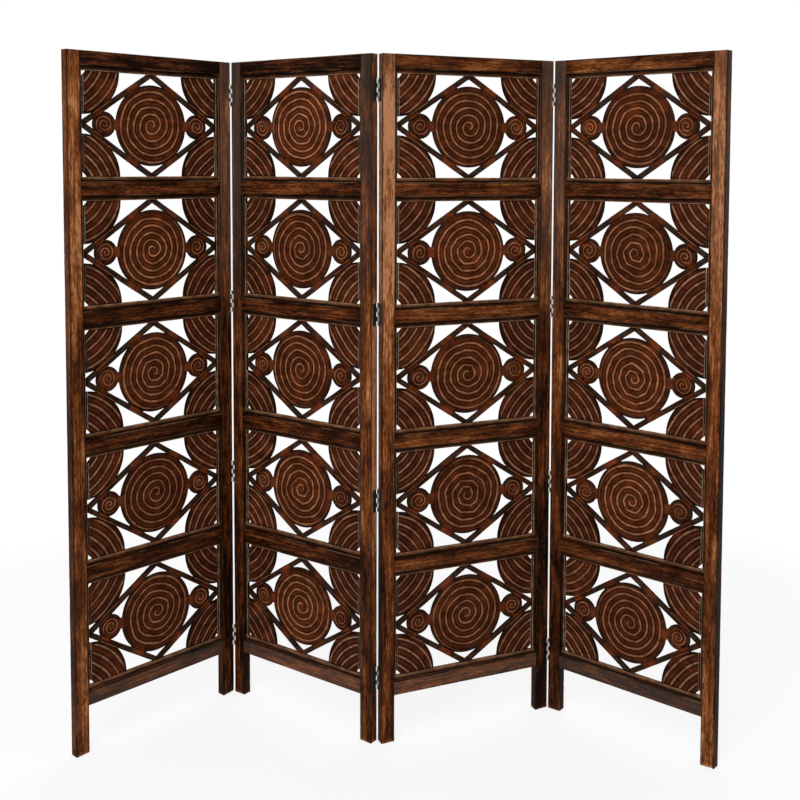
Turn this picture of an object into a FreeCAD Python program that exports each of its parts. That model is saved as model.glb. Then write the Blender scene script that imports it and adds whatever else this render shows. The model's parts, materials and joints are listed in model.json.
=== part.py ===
import FreeCAD, Part
import math
import os

# A folding screen: four hinged panels standing in a zigzag. Each panel is a wooden frame of two stiles
# and six rails that holds five carved fretwork boards in grooves. Sizes are in millimetres, +Z is up,
# the screen faces -Y, and the origin is on the floor under the middle of the standing screen.

# One panel, and how far each panel is turned about the vertical, in degrees, from left to right
panel_width = 508.0
panel_height = 1829.0
panel_turns = (47.4, -35.6, 24.2, -40.0)

# Frame members
frame_thickness = 25.4
stile_width = 38.0
rail_height = 38.0
leg_length = 127.0
boards_per_panel = 5
arris_radius = 1.8

# Joinery: grooves for the boards, tenons on the rails and mortises in the stiles
groove_depth = 8.0
tenon_thickness = 9.0
mortise_wall = 15.0
mortise_end_gap = 1.0
joint_clearance = 0.1

# Carved boards: plain borders around a field of discs, straps and corner fans
board_thickness = 10.0
board_slack = 1.0
side_border = 8.0
end_border = 12.0
disc_radius = 108.0
small_disc_radius = 33.5
small_disc_distance = 143.0
neck_height = 28.0
strap_width = 14.0
strap_thickness = 7.5
patch_length = 52.0
patch_overlap = 8.0
fan_radius = 111.0
corner_hole_radius = 14.0

# Butt hinges let into the stile edges; the barrels lie in front of joints 1 and 3 and behind joint 2.
# The edge gap is between two stiles when the screen is opened out flat. The standoff is how far the pin
# lies outside the face, and the knuckles turn in a relief that is cut out of the corners of the stiles.
barrels_at_back = (False, True, False)
edge_gap = 1.2
hinge_height = 60.0
hinge_height_shares = (0.094, 0.358, 0.629, 0.949)
leaf_thickness = 1.2
leaf_inset = 6.0
knuckle_count = 5
knuckle_gap = 0.3
knuckle_wall = 0.9
knuckle_notch = 3.5
relief_depth = 3.0
relief_end_gap = 0.3
pin_standoff = 1.4
pin_radius = 1.0
pin_clearance = 0.05
pin_head_radius = 1.8
pin_head_height = 1.2

# Countersunk screws, three to a leaf: their places are shares of the leaf's width and height
screw_radius = 1.5
screw_clearance = 0.05
screw_end_gap = 2.0
screw_head_share = 0.85
screw_slot_width = 0.7
screw_slot_share = 0.5
screw_place_shares = ((0.36, 0.15), (0.68, 0.5), (0.36, 0.85))

# How far a cutting shape runs past the face that it cuts
overrun = 5.0

# Sizes that follow from those above
rail_count = boards_per_panel + 1
opening_width = panel_width - 2 * stile_width
opening_height = (panel_height - leg_length - rail_count * rail_height) / boards_per_panel
row_pitch = opening_height + rail_height
middle_depth = frame_thickness / 2
tenon_height = rail_height - 2 * groove_depth
tenon_length = stile_width - mortise_wall - mortise_end_gap
groove_width = board_thickness + 2 * joint_clearance
field_half_width = opening_width / 2 - side_border
field_half_height = opening_height / 2 - end_border
leaf_width = frame_thickness - leaf_inset
barrel_radius = pin_radius + pin_clearance + knuckle_wall
knuckle_height = (hinge_height - (knuckle_count - 1) * knuckle_gap) / knuckle_count
screw_head_depth = leaf_thickness * screw_head_share
screw_reach = mortise_wall - leaf_thickness - screw_end_gap

Vector = FreeCAD.Vector
along_x = Vector(1, 0, 0)
along_y = Vector(0, 1, 0)
along_z = Vector(0, 0, 1)
square_signs = ((-1, -1), (1, -1), (1, 1), (-1, 1))


def box_between(a, b):
    """A box from any two opposite corners."""
    low = Vector(min(a.x, b.x), min(a.y, b.y), min(a.z, b.z))
    high = Vector(max(a.x, b.x), max(a.y, b.y), max(a.z, b.z))
    size = high - low
    return Part.makeBox(size.x, size.y, size.z, low)


def eased_bar(a, b, along):
    """A squared bar with the four edges that run along it rounded a little."""
    bar = box_between(a, b)
    long_edges = [edge for edge in bar.Edges if round(abs(edge.tangentAt(edge.FirstParameter).dot(along)))]
    return bar.makeFillet(arris_radius, long_edges)


def moved(shape, x, y, z):
    """A copy of a shape, shifted."""
    copy = shape.copy()
    copy.translate(Vector(x, y, z))
    return copy


# Where the panels stand

def barrel_depth(joint):
    """How deep a joint's pin lies, measured from the front face of its panels."""
    return frame_thickness + pin_standoff if barrels_at_back[joint] else -pin_standoff


def panel_placements():
    """Chain the panels pin to pin, then bring the middle of their outline to the origin."""
    placements = []
    for index, turn in enumerate(panel_turns):
        rotation = FreeCAD.Rotation(along_z, turn)
        corner = Vector(0, 0, 0)
        if index:
            depth = barrel_depth(index - 1)
            pin = placements[-1].multVec(Vector(panel_width + edge_gap / 2, depth, 0))
            corner = pin - rotation.multVec(Vector(-edge_gap / 2, depth, 0))
        placements.append(FreeCAD.Placement(corner, rotation))
    outline = [
        placement.multVec(Vector(x, y, 0))
        for placement in placements
        for x in (0, panel_width)
        for y in (0, frame_thickness)
    ]
    middle_x = (min(p.x for p in outline) + max(p.x for p in outline)) / 2
    middle_y = (min(p.y for p in outline) + max(p.y for p in outline)) / 2
    middle = Vector(middle_x, middle_y, 0)
    return [FreeCAD.Placement(place.Base - middle, place.Rotation) for place in placements]


placements = panel_placements()


def export(name, panel, solids):
    """Write one node: its solids, turned and moved to where their panel stands."""
    placed = [solid.transformed(placements[panel].toMatrix(), True) for solid in solids]
    shape = placed[0] if len(placed) == 1 else Part.makeCompound(placed)
    shape.exportStep("parts/" + name + ".step")


# Frame members

def rail_bottoms():
    """The heights of the rails' lower faces, from the bottom rail up."""
    return [leg_length + row * row_pitch for row in range(rail_count)]


def stile(on_right, hinge_edge):
    """An upright with its leg, grooved and mortised inside, with pockets and pilot holes for its hinges."""
    outer = panel_width if on_right else 0
    inward = -1 if on_right else 1
    inner = outer + inward * stile_width
    bar = eased_bar(Vector(outer, 0, 0), Vector(inner, frame_thickness, panel_height), along_z)
    cuts = []
    for bottom in rail_bottoms():
        low = bottom + groove_depth - joint_clearance
        half = tenon_thickness / 2 + joint_clearance
        cuts.append(box_between(
            Vector(outer + inward * mortise_wall, middle_depth - half, low),
            Vector(inner + inward * overrun, middle_depth + half, low + tenon_height + 2 * joint_clearance)))
    for bottom in rail_bottoms()[1:]:
        cuts.append(box_between(
            Vector(inner - inward * groove_depth, middle_depth - groove_width / 2,
                   bottom - opening_height - groove_depth),
            Vector(inner + inward * overrun, middle_depth + groove_width / 2, bottom + groove_depth)))
    if hinge_edge is not None:
        for bottom in hinge_bottoms():
            cuts += [leaf_pocket(hinge_edge, on_right, bottom), knuckle_relief(hinge_edge, on_right, bottom)]
        cuts += screws_at(hinge_edge, on_right, screw_clearance)
    return bar.cut(cuts)


def rail(bottom, groove_below, groove_above):
    """A cross bar with a tenon at each end and grooves for the boards below and above it."""
    top = bottom + rail_height
    left = stile_width
    right = panel_width - stile_width
    bar = eased_bar(Vector(left, 0, bottom), Vector(right, frame_thickness, top), along_x)
    tenon = box_between(
        Vector(left - tenon_length, middle_depth - tenon_thickness / 2, bottom + groove_depth),
        Vector(right + tenon_length, middle_depth + tenon_thickness / 2, top - groove_depth))
    grooves = []
    for wanted, face, into in ((groove_below, bottom, 1), (groove_above, top, -1)):
        if wanted:
            grooves.append(box_between(
                Vector(left - overrun, middle_depth - groove_width / 2, face - into * overrun),
                Vector(right + overrun, middle_depth + groove_width / 2, face + into * groove_depth)))
    return bar.cut(grooves).fuse(tenon).removeSplitter()


# Carved boards, made about the middle of their opening

def slab(points, thickness):
    """A flat piece of the fretwork with straight sides, centred in the board's thickness."""
    corners = [Vector(x, -thickness / 2, z) for x, z in points]
    face = Part.Face(Part.makePolygon(corners + corners[:1]))
    return face.extrude(Vector(0, thickness, 0))


def disc(radius, x, z, thickness):
    """A round piece of the fretwork, centred in the board's thickness."""
    return Part.makeCylinder(radius, thickness, Vector(x, -thickness / 2, z), along_y)


def window(thickness):
    """The carved field inside the board's borders."""
    return slab([(x * field_half_width, z * field_half_height) for x, z in square_signs], thickness)


def beside_strap(side_x, side_z, along, across, length, width):
    """Corners of a strip laid along one side of the strap diamond, at a distance from the middle."""
    reach = math.hypot(field_half_width, field_half_height)
    run = Vector(-side_x * field_half_width / reach, 0, side_z * field_half_height / reach)
    out = Vector(side_x * field_half_height / reach, 0, side_z * field_half_width / reach)
    middle = out * across + run * along
    corners = [middle + run * (u * length / 2) + out * (v * width / 2) for u, v in square_signs]
    return [(corner.x, corner.z) for corner in corners]


def fretwork():
    """Discs, straps, flat patches and corner fans: what fills the field of a board."""
    reach = math.hypot(field_half_width, field_half_height)
    strap_distance = field_half_width * field_half_height / reach
    strap_middle = (field_half_width ** 2 - field_half_height ** 2) / (2 * reach)
    strap_length = reach + 2 * overrun
    patch_width = max(strap_distance - disc_radius, 0) + patch_overlap
    patch_distance = strap_distance - patch_width / 2
    pieces = [disc(disc_radius, 0, 0, board_thickness)]
    for side_x in (-1, 1):
        x = side_x * small_disc_distance
        pieces.append(disc(small_disc_radius, x, 0, board_thickness))
        neck = [(0, -neck_height / 2), (x, -neck_height / 2), (x, neck_height / 2), (0, neck_height / 2)]
        pieces.append(slab(neck, strap_thickness))
        for side_z in (-1, 1):
            strap = beside_strap(side_x, side_z, -strap_middle, strap_distance, strap_length, strap_width)
            pieces.append(slab(strap, strap_thickness))
            patch = beside_strap(side_x, side_z, 0, patch_distance, patch_length, patch_width)
            pieces.append(slab(patch, strap_thickness))
            corner_x = side_x * field_half_width
            corner_z = side_z * field_half_height
            fan = disc(fan_radius, corner_x, corner_z, board_thickness)
            pieces.append(fan.cut(disc(corner_hole_radius, corner_x, corner_z, board_thickness)))
    field = window(board_thickness)
    return [piece.common(field) for piece in pieces]


def board():
    """One board: borders that run into the grooves, and the carved field between them."""
    half_width = opening_width / 2 + groove_depth - board_slack
    low = -opening_height / 2 - groove_depth
    high = opening_height / 2 + groove_depth - board_slack
    outline = [(-half_width, low), (half_width, low), (half_width, high), (-half_width, high)]
    border = slab(outline, board_thickness).cut(window(board_thickness))
    return border.multiFuse(fretwork()).removeSplitter().Solids[0]


# Hinges, made in the frame of the panel that carries them

def edge_frame(joint, on_right):
    """A hinged edge: its pin's x and depth, and the signs from the pin towards the panel along both."""
    pin_x = panel_width + edge_gap / 2 if on_right else -edge_gap / 2
    aside = -1 if on_right else 1
    inward = -1 if barrels_at_back[joint] else 1
    return pin_x, barrel_depth(joint), aside, inward


def hinge_bottoms():
    """The heights of the hinges' lower ends."""
    return [share * panel_height - hinge_height / 2 for share in hinge_height_shares]


def leaf_pocket(joint, on_right, bottom):
    """The shallow recess in a stile's edge that a leaf lies in, flush with the edge."""
    pin_x, depth, aside, inward = edge_frame(joint, on_right)
    edge = pin_x + aside * edge_gap / 2
    far_side = depth + inward * (pin_standoff + leaf_width + joint_clearance)
    return box_between(
        Vector(edge - aside * overrun, depth, bottom - joint_clearance),
        Vector(edge + aside * leaf_thickness, far_side, bottom + hinge_height + joint_clearance))


def knuckle_relief(joint, on_right, bottom):
    """The notch in a stile's corner that leaves room for the knuckles and the heads of the pin."""
    pin_x, depth, aside, inward = edge_frame(joint, on_right)
    edge = pin_x + aside * edge_gap / 2
    beyond = pin_head_height + relief_end_gap
    return box_between(
        Vector(edge - aside * overrun, depth, bottom - beyond),
        Vector(edge + aside * relief_depth, depth + inward * (pin_standoff + knuckle_notch),
               bottom + hinge_height + beyond))


def leaf_places(joint, on_right, bottom):
    """The middles of a leaf's screw holes, on the floor of its pocket."""
    pin_x, depth, aside, inward = edge_frame(joint, on_right)
    return [
        Vector(pin_x + aside * (edge_gap / 2 + leaf_thickness),
               depth + inward * (pin_standoff + across * leaf_width),
               bottom + up * hinge_height)
        for across, up in screw_place_shares
    ]


def screw(place, into, clearance):
    """A countersunk screw from the face of a leaf into the stile; with a clearance, the hole for it."""
    head = place - into * leaf_thickness
    neck = head + into * screw_head_depth
    end = screw_reach + leaf_thickness - screw_head_depth
    radius = screw_radius + clearance
    head_radius = radius + screw_head_depth
    cone = Part.makeCone(head_radius, radius, screw_head_depth, head, into)
    shank = Part.makeCylinder(radius, end + clearance, neck, into)
    return cone.fuse(shank).removeSplitter()


def slotted(place, into):
    """A screw with a straight slot across its head."""
    head = place - into * leaf_thickness
    across = Vector(0, screw_radius + screw_head_depth + overrun, screw_slot_width / 2)
    deep = into * (screw_head_depth * screw_slot_share)
    slot = box_between(head - into * overrun - across, head + deep + across)
    return screw(place, into, 0).cut(slot)


def screws_at(joint, on_right, clearance):
    """All the screws, or the holes for them, of one hinged edge."""
    into = along_x * (-1 if on_right else 1)
    places = [place for bottom in hinge_bottoms() for place in leaf_places(joint, on_right, bottom)]
    if clearance:
        return [screw(place, into, clearance) for place in places]
    return [slotted(place, into) for place in places]


def leaf(joint, on_right, bottom):
    """A leaf with its share of the knuckles: three for the panel on the right of a joint, two on the left."""
    pin_x, depth, aside, inward = edge_frame(joint, on_right)
    edge = aside * edge_gap / 2
    back = edge + aside * leaf_thickness
    far_side = inward * (pin_standoff + leaf_width)
    plate = box_between(Vector(edge, inward * (pin_standoff + knuckle_notch), 0),
                        Vector(back, far_side, hinge_height))
    knuckles = []
    for index in range(1 if on_right else 0, knuckle_count, 2):
        start = index * (knuckle_height + knuckle_gap)
        end = start + knuckle_height
        knuckles.append(box_between(Vector(edge, 0, start), Vector(back, far_side, end)))
        knuckles.append(Part.makeCylinder(barrel_radius, knuckle_height, Vector(0, 0, start)))
    bore = Part.makeCylinder(pin_radius + pin_clearance, hinge_height + 2 * overrun, Vector(0, 0, -overrun))
    made = moved(plate.multiFuse(knuckles).cut(bore), pin_x, depth, bottom)
    into = along_x * aside
    holes = [screw(place, into, screw_clearance) for place in leaf_places(joint, on_right, bottom)]
    return made.cut(holes).removeSplitter()


def pin(joint, bottom):
    """A hinge pin with a flat head at each end, in the frame of the panel on the right of its joint."""
    pin_x, depth, aside, inward = edge_frame(joint, False)
    shaft = Part.makeCylinder(pin_radius, hinge_height, Vector(pin_x, depth, bottom))
    heads = [Part.makeCylinder(pin_head_radius, pin_head_height, Vector(pin_x, depth, start))
             for start in (bottom - pin_head_height, bottom + hinge_height)]
    return shaft.multiFuse(heads).removeSplitter()


# Build and write every piece

os.makedirs("parts", exist_ok=True)
carved = board()
last_joint = len(barrels_at_back) - 1

for panel in range(len(panel_turns)):
    name = "panel_" + str(panel + 1)
    left_joint = panel - 1 if panel > 0 else None
    right_joint = panel if panel <= last_joint else None
    export(name + "_left_stile", panel, [stile(False, left_joint)])
    export(name + "_right_stile", panel, [stile(True, right_joint)])
    bottoms = rail_bottoms()
    export(name + "_bottom_rail", panel, [rail(bottoms[0], False, True)])
    export(name + "_middle_rails", panel, [rail(bottom, True, True) for bottom in bottoms[1:-1]])
    export(name + "_top_rail", panel, [rail(bottoms[-1], True, False)])
    for row, bottom in enumerate(reversed(bottoms[1:])):
        placed = moved(carved, panel_width / 2, middle_depth, bottom - opening_height / 2)
        export(name + "_carved_board_" + str(row + 1), panel, [placed])
    screws = []
    for joint, on_right in ((left_joint, False), (right_joint, True)):
        if joint is not None:
            side = "right" if on_right else "left"
            leaves = [leaf(joint, on_right, bottom) for bottom in hinge_bottoms()]
            export(name + "_" + side + "_hinge_leaves", panel, leaves)
            screws += screws_at(joint, on_right, 0)
    export(name + "_hinge_screws", panel, screws)
    if left_joint is not None:
        pins = [pin(left_joint, bottom) for bottom in hinge_bottoms()]
        export("hinge_pins_" + str(panel) + "_" + str(panel + 1), panel, pins)
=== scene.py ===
import bisect
import functools
import json
import math
import random

import bmesh
import bpy
from mathutils import Color, Matrix, Vector, noise

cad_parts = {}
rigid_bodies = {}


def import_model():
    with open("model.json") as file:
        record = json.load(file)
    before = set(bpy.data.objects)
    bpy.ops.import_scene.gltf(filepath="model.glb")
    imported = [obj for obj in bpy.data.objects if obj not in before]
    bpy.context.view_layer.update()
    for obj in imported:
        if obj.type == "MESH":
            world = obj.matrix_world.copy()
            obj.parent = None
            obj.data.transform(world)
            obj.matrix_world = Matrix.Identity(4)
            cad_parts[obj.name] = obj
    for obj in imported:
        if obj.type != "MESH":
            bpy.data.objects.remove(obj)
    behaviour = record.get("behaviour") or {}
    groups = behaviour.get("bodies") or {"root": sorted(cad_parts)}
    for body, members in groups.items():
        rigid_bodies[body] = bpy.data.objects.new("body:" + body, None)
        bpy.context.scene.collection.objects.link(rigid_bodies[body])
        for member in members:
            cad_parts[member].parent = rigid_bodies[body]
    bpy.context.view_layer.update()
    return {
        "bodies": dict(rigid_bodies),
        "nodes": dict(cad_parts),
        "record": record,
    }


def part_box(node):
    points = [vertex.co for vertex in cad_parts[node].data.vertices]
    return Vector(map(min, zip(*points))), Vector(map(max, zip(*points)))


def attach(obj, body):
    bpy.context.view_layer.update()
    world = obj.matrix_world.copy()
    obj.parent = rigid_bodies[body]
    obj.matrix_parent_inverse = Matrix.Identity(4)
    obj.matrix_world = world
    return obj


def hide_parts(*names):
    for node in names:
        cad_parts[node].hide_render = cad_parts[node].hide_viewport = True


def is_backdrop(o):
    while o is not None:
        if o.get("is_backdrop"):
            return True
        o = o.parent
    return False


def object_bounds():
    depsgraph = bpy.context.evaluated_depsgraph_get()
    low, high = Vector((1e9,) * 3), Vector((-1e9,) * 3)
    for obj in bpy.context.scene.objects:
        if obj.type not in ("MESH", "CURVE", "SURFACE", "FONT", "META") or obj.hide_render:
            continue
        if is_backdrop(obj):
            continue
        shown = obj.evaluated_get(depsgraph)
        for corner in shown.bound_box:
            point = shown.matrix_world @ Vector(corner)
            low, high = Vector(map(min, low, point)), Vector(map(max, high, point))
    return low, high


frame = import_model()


# The screen is four wooden panels hinged edge to edge, standing in a zigzag on the feet of their stiles.
# Every piece of a panel is square to it, so it is made in the panel's own axes, which are read from the
# two stiles: X along the width, Y from front to back, Z up, and the origin on the floor in the middle.
panel_names = sorted(frame["bodies"])


def panel_axes(panel):
    """Takes a point from a panel's own axes to the place where the panel stands."""
    left_low, left_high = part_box(panel + "_left_stile")
    right_low, right_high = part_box(panel + "_right_stile")
    left = (left_low + left_high) / 2
    right = (right_low + right_high) / 2
    middle = (left + right) / 2
    turn = math.atan2(right.y - left.y, right.x - left.x)
    return Matrix.Translation((middle.x, middle.y, left_low.z)) @ Matrix.Rotation(turn, 4, "Z")


axes_of = {panel: panel_axes(panel) for panel in panel_names}


def points_in_panel(panel, ending):
    """The corner points of a panel's piece in the panel's axes."""
    to_panel = axes_of[panel].inverted()
    return [to_panel @ vertex.co for vertex in frame["nodes"][panel + ending].data.vertices]


def box_of(points):
    """The lowest and highest corner of the box around some points."""
    axes = list(zip(*points))
    return Vector([min(values) for values in axes]), Vector([max(values) for values in axes])


@functools.cache
def extent(panel, ending):
    """The lowest and highest corner of a panel's piece in the panel's axes."""
    return box_of(points_in_panel(panel, ending))


# Stiles: the uprights, planed hardwood with hand-eased arrises, stained dark and rubbed back so that the
# grain shows lighter in streaks and blotches. Their lower ends run on as the panel's feet, and shallow
# pockets in their hinged edges hold the leaves of the hinges.
scene = bpy.context.scene
arris_radius = 0.0018
arris_segments = 3
cut_spacing = 0.009
wear_reach = 0.0045
stile_rubbed = 0.25
rail_rubbed = 0.8
planing_scale = 14
planing_depth = 0.0003
nick_scale = 75
nick_depth = 0.0016
nick_least = 0.32
log_length = 9
log_spread = 0.05
tone_places = (0.2, 0.5, 0.8)
tone_drop = 0.07
grain_relief = 0.0004
# Painted shade: the rails darken towards their shoulders, where they meet the stiles
shoulder_shade_reach = 0.035
shoulder_painted_shade = -0.12
dusty_stretch = (0.55, 0.85)
crown_tone = -0.18
crown_stretch = (0.93, 0.98)
foot_chip = 0.006
foot_scale = 120
foot_reach = 0.002
foot_tone = 0.35
foot_fade = 0.010
foot_rubbed = 0.7
rubbed_height = 0.16
leaf_thickness = 0.0012
pocket_slack = 0.0001
relief_depth = 0.003
relief_width = 0.0035
relief_end_gap = 0.0015
cut_overrun = 0.01
least_hinge_spacing = 0.1
sharp_angle = math.radians(42)

# The seed that makes the uneven hand work the same on every run
hand_seed = 1
noise.seed_set(hand_seed)

# How light each stile is low, in the middle and high, partly its stain and partly painted light and shade:
# lighter high up and on the stiles nearer the front, darker low down and at the inside corners of the zigzag;
# how much lighter its narrow edge faces are; and how dusty it is at the top
stile_tones_and_painted_shade = {
    "panel_1": {"left": (0.16, 0.09, 0.31, -0.22, 0.00), "right": (-0.26, -0.16, 0.18, 0.00, 0.20)},
    "panel_2": {"left": (-0.20, 0.04, -0.23, -0.20, 0.20), "right": (-0.07, 0.23, -0.10, 0.30, 0.12)},
    "panel_3": {"left": (-0.06, 0.24, 0.54, -0.10, 0.12), "right": (-0.24, -0.08, 0.20, 0.00, 0.20)},
    "panel_4": {"left": (-0.21, 0.18, 0.00, -0.20, 0.20), "right": (0.19, 0.12, 0.36, -0.50, 0.15)},
}


def smooth(low, high, value):
    """A soft step from 0 at low to 1 at high."""
    share = min(1, max(0, (value - low) / (high - low)))
    return share * share * (3 - 2 * share)


def new_mesh(bm, name):
    """A mesh from a bmesh that is then done with."""
    mesh = bpy.data.meshes.new(name)
    bm.to_mesh(mesh)
    bm.free()
    return mesh


def combined(base, others, operation):
    """The mesh of a closed solid after others are joined to it or cut from it."""
    scene.collection.objects.link(base)
    group = bpy.data.collections.new("others")
    for solid in others:
        group.objects.link(solid)
    scene.collection.children.link(group)
    change = base.modifiers.new("change", "BOOLEAN")
    change.operation = operation
    change.operand_type = "COLLECTION"
    change.collection = group
    change.solver = "MANIFOLD"
    whole = bpy.data.meshes.new_from_object(base.evaluated_get(bpy.context.evaluated_depsgraph_get()))
    if len(whole.vertices) == len(base.data.vertices):
        raise ValueError("a solid is not closed, so nothing was joined or cut: " + base.name)
    for solid in [base, *others]:
        bpy.data.meshes.remove(solid.data)
    bpy.data.collections.remove(group)
    return whole


def blocks_between(corners, to_bar):
    """A solid of separate blocks, each between two opposite corners, in the axes of a bar."""
    bm = bmesh.new()
    for low, high in corners:
        block = bmesh.ops.create_cube(bm, size=1)["verts"]
        bmesh.ops.scale(bm, vec=high - low, verts=block)
        bmesh.ops.translate(bm, vec=(low + high) / 2, verts=block)
    mesh = new_mesh(bm, "blocks")
    mesh.transform(to_bar)
    return bpy.data.objects.new("blocks", mesh)


def hinge_cuts(panel, side, to_bar):
    """What is cut from a hinged edge: pockets for the leaves, and reliefs in its corner for the knuckles."""
    ending = "_" + side + "_hinge_leaves"
    if panel + ending not in frame["nodes"]:
        return []
    low, high = extent(panel, "_" + side + "_stile")
    edge, outward = (low.x, -1) if side == "left" else (high.x, 1)
    leaves = []
    for point in sorted(points_in_panel(panel, ending), key=lambda point: point.z):
        if not leaves or point.z - leaves[-1][-1].z > least_hinge_spacing:
            leaves.append([])
        leaves[-1].append(point)
    pockets = []
    reliefs = []
    for leaf in leaves:
        leaf_low, leaf_high = box_of(leaf)
        at_front = leaf_low.y < low.y
        outer = edge + outward * cut_overrun
        for blocks, depth, beyond in ((pockets, leaf_thickness, pocket_slack),
                                      (reliefs, relief_depth, relief_end_gap)):
            inner = edge - outward * depth
            front = leaf_low.y - beyond
            back = leaf_high.y + beyond
            if blocks is reliefs:
                front, back = (front, low.y + relief_width) if at_front else (high.y - relief_width, back)
            blocks.append((Vector((min(inner, outer), front, leaf_low.z - beyond)),
                           Vector((max(inner, outer), back, leaf_high.z + beyond))))
    return [blocks_between(pockets, to_bar), blocks_between(reliefs, to_bar)]


def edges_along(bm, length):
    """The edges of a bar that run along X for most of its length."""
    return [edge for edge in bm.edges if abs(edge.verts[0].co.x - edge.verts[1].co.x) > length / 2]


def cut_across(bm, place, direction):
    """Cut all faces along a plane and keep both sides."""
    geometry = bm.verts[:] + bm.edges[:] + bm.faces[:]
    bmesh.ops.bisect_plane(bm, geom=geometry, plane_co=place, plane_no=direction)


def squared_bar(length, width, thickness, ends_eased):
    """A bar along X with rounded arrises, cut up finely enough to show wear."""
    bm = bmesh.new()
    bmesh.ops.create_cube(bm, size=1)
    bmesh.ops.scale(bm, vec=(length, width, thickness), verts=bm.verts)
    eased = bm.edges[:] if ends_eased else edges_along(bm, length)
    bmesh.ops.bevel(bm, geom=eased, offset=arris_radius, affect="EDGES", segments=arris_segments, profile=0.5,
                    material=-1)
    bmesh.ops.subdivide_edges(bm, edges=edges_along(bm, length), cuts=round(length / cut_spacing),
                              use_grid_fill=True)
    for across, size in ((Vector((0, 1, 0)), width), (Vector((0, 0, 1)), thickness)):
        for side in (-1, 1):
            cut_across(bm, across * side * (size / 2 - wear_reach), across)
    return new_mesh(bm, "bar")


def tone_along(first, middle, last, share):
    """The tone at a share of a bar's length, from the tones at its start, middle and end."""
    start, centre, end = tone_places
    if share < centre:
        return first + (middle - first) * smooth(start, centre, share)
    return middle + (last - middle) * smooth(centre, end, share)


def timber(length, width, thickness, seed, tones, ends_eased, cuts=()):
    """A worn bar. Its points carry the grain's place, the arrises' wear, the stain's tone with painted light
    and shade in it, and the dust.
    """
    mesh = squared_bar(length, width, thickness, ends_eased)
    if cuts:
        mesh = combined(bpy.data.objects.new("bar", mesh), cuts, "DIFFERENCE")
    *long_tones, edge_tone, dust_amount = tones
    bm = bmesh.new()
    bm.from_mesh(mesh)
    grain = bm.verts.layers.float_vector.new("grain")
    carried = ("wear", "rubbed", "tone", "dust")
    wear, rubbed, tone, dust = [bm.verts.layers.float.new(name) for name in carried]
    draw = random.Random(seed)
    log_place = Vector((draw.uniform(0, log_length), draw.uniform(-log_spread, log_spread),
                        draw.uniform(-log_spread, log_spread)))
    for vertex in bm.verts:
        place = vertex.co.copy()
        share = place.x / length + 0.5
        from_arris = max(width / 2 - abs(place.y), thickness / 2 - abs(place.z))
        vertex[grain] = place + log_place
        vertex[wear] = max(0, 1 - from_arris / wear_reach)
        vertex[rubbed] = stile_rubbed if ends_eased else rail_rubbed
        # The tone along the bar is partly painted light and shade, as set in the tables of tones above
        vertex[tone] = tone_along(*long_tones, share)
        vertex[tone] += edge_tone * smooth(width / 2 - arris_radius, width / 2, abs(place.y))
        vertex[dust] = dust_amount
        if ends_eased:
            vertex[dust] *= smooth(*dusty_stretch, share)
            vertex[tone] += crown_tone * smooth(*crown_stretch, share)
            above_foot = place.x + length / 2
            vertex[rubbed] += foot_rubbed * (1 - smooth(0, rubbed_height, above_foot))
            vertex[tone] += foot_tone * (1 - smooth(0, foot_fade, above_foot))
            chip = max(0, noise.noise(Vector((0, place.y, place.z)) * foot_scale + log_place)) * foot_chip
            vertex.co.x += chip * (1 - smooth(foot_reach, foot_fade, above_foot))
        else:
            # Painted shade at the rail's ends, where it meets the stiles
            vertex[tone] += shoulder_painted_shade * (1 - smooth(0, shoulder_shade_reach, length / 2 - abs(place.x)))
        corner = Vector((0, math.copysign(1, place.y), math.copysign(1, place.z)))
        nick = noise.noise(Vector((place.x * nick_scale, corner.y, corner.z)) + log_place)
        vertex.co -= corner * max(0, nick - nick_least) * nick_depth * vertex[wear] ** 2
        vertex.co += noise.noise_vector(place * planing_scale + log_place) * planing_depth
    bm.to_mesh(mesh)
    bm.free()
    return mesh


def make_piece(name, meshes, material, panel, node):
    """A piece of a panel from its meshes, which stands for a solid of the frame and moves with the panel."""
    bm = bmesh.new()
    for mesh in meshes:
        bm.from_mesh(mesh)
        bpy.data.meshes.remove(mesh)
    joined = new_mesh(bm, name)
    joined.shade_smooth()
    joined.set_sharp_from_angle(angle=sharp_angle)
    joined.materials.append(material)
    piece = bpy.data.objects.new(name, joined)
    scene.collection.objects.link(piece)
    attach(piece, panel)
    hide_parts(node)


def stain(red, green, blue):
    """A colour as it looks, in levels from 0 to 255, made ready for a shader."""
    seen = Color((red / 255, green / 255, blue / 255))
    return Vector((*seen.from_srgb_to_scene_linear(), 1))


def set_inputs(tree, made, inputs):
    """Set inputs of a shader node, each to a value or to the output of another node."""
    for socket, value in inputs.items():
        if isinstance(value, bpy.types.NodeSocket):
            tree.links.new(value, made.inputs[socket])
        else:
            made.inputs[socket].default_value = value


def add_node(tree, kind, inputs, **settings):
    """Add a shader node with its settings and inputs."""
    made = tree.nodes.new(kind)
    for name, value in settings.items():
        setattr(made, name, value)
    set_inputs(tree, made, inputs)
    return made


def attribute(tree, name, output):
    """What the points of a piece carry under a name."""
    return add_node(tree, "ShaderNodeAttribute", {}, attribute_name=name).outputs[output]


def stretched_noise(tree, coordinates, scale, **inputs):
    """A noise texture, scaled differently along, across and through the timber."""
    places = add_node(tree, "ShaderNodeMapping", {"Vector": coordinates, "Scale": scale}).outputs["Vector"]
    return add_node(tree, "ShaderNodeTexNoise", {"Vector": places, "Scale": 1, **inputs})


def between(tree, value, low, high):
    """A value spread so that low becomes 0 and high becomes 1."""
    inputs = {"Value": value, "From Min": low, "From Max": high}
    return add_node(tree, "ShaderNodeMapRange", inputs, interpolation_type="SMOOTHSTEP").outputs["Result"]


def cloud(tree, coordinates, scale, detail, low, high):
    """Soft random patches, from 0 below one level of the noise to 1 above another."""
    return between(tree, stretched_noise(tree, coordinates, scale, Detail=detail).outputs[0], low, high)


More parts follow.
